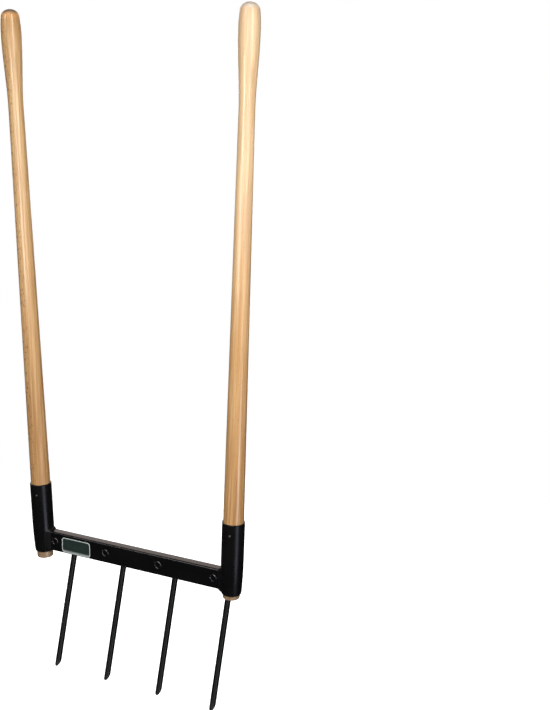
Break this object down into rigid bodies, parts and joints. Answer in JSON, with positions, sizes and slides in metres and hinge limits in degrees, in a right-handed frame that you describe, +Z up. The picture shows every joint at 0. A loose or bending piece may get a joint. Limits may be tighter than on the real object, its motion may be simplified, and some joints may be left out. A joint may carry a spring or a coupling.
{
  "type": "broadfork",
  "caption": "Broadfork for loosening soil: turned wooden handles in tapered steel sockets, joined by a rectangular tube crossbar with round tines that curve back, down and forward.",
  "frame": {"origin": "middle of the footprint on the ground, at the height of the tine points", "axes": "+Z up along the tool, +X along the crossbar to the right seen from the front, +Y to the back, the side the tines bulge towards"},
  "size_m": [0.5672, 0.0887, 1.3674],
  "materials": {
    "wood": "clear-lacquered pale hardwood, lengthwise grain with small dark flecks",
    "black_paint": "satin black powder coat",
    "tine_steel": "satin black powder coat, rubbed at the points",
    "weld_bead": "satin black powder coat over a rippled bead",
    "screw_steel": "zinc-plated screw",
    "plate": "dark green plate with a pale border, blank"
  },
  "bodies": {
    "root": {"left_handle": "wood", "right_handle": "wood", "left_socket": "black_paint", "right_socket": "black_paint", "crossbar": "black_paint", "tine_1": "tine_steel", "tine_2": "tine_steel", "tine_3": "tine_steel", "tine_4": "tine_steel", "plug_weld_1": "weld_bead", "plug_weld_2": "weld_bead", "plug_weld_3": "weld_bead", "plug_weld_4": "weld_bead", "tine_weld_1": "weld_bead", "tine_weld_2": "weld_bead", "tine_weld_3": "weld_bead", "tine_weld_4": "weld_bead", "left_socket_weld": "weld_bead", "right_socket_weld": "weld_bead", "left_handle_screw": "screw_steel", "right_handle_screw": "screw_steel", "name_plate": "plate"}
  },
  "joints": []
}
